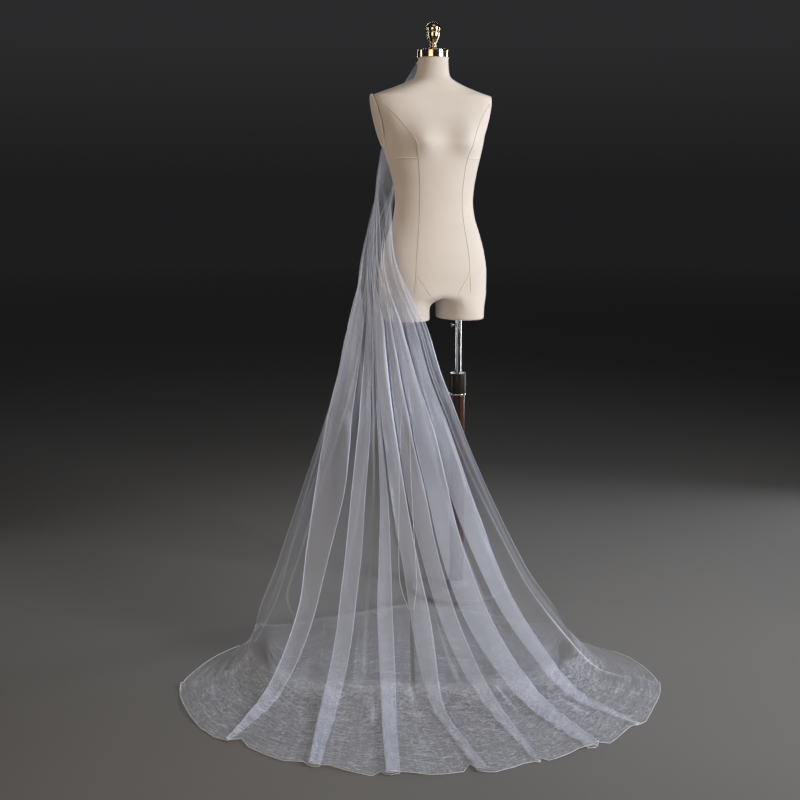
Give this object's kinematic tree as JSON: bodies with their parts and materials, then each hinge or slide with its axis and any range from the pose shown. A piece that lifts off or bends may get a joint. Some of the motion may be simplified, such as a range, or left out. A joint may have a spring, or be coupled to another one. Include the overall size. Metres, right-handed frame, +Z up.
{
  "type": "bridal veil on a dress form",
  "caption": "Long sheer tulle veil gathered on a comb behind the neck of a limbless dress form on a pole stand, falling past its side and spreading into a rounded train on the floor.",
  "frame": {"origin": "centre of the stand's underside, on the floor", "axes": "+Z up along the stand, -Y the way the dress form faces; the veil falls past the form's right side, towards -X and -Y"},
  "size_m": [1.2373, 1.3875, 1.7951],
  "materials": {
    "tulle": "sheer soft tulle",
    "satin": "satin ribbon",
    "comb": "clear",
    "linen": "stretched cream cover",
    "brass": "polished",
    "chrome": "polished",
    "dark_collar": "dark satin paint",
    "dark_wood": "stained and varnished",
    "base_plate": "dark grey paint"
  },
  "bodies": {
    "root": {"veil_panel": "tulle", "veil_heading": "satin", "veil_comb": "comb", "form_body": "linen", "arm_plate_left": "linen", "arm_plate_right": "linen", "neck_cap": "brass", "finial": "brass", "tube_socket": "chrome", "pole_tube": "chrome", "pole_collar": "dark_collar", "pole_ring": "chrome", "pole_wood": "dark_wood", "stand_foot": "base_plate", "stand_base": "base_plate"}
  },
  "joints": []
}
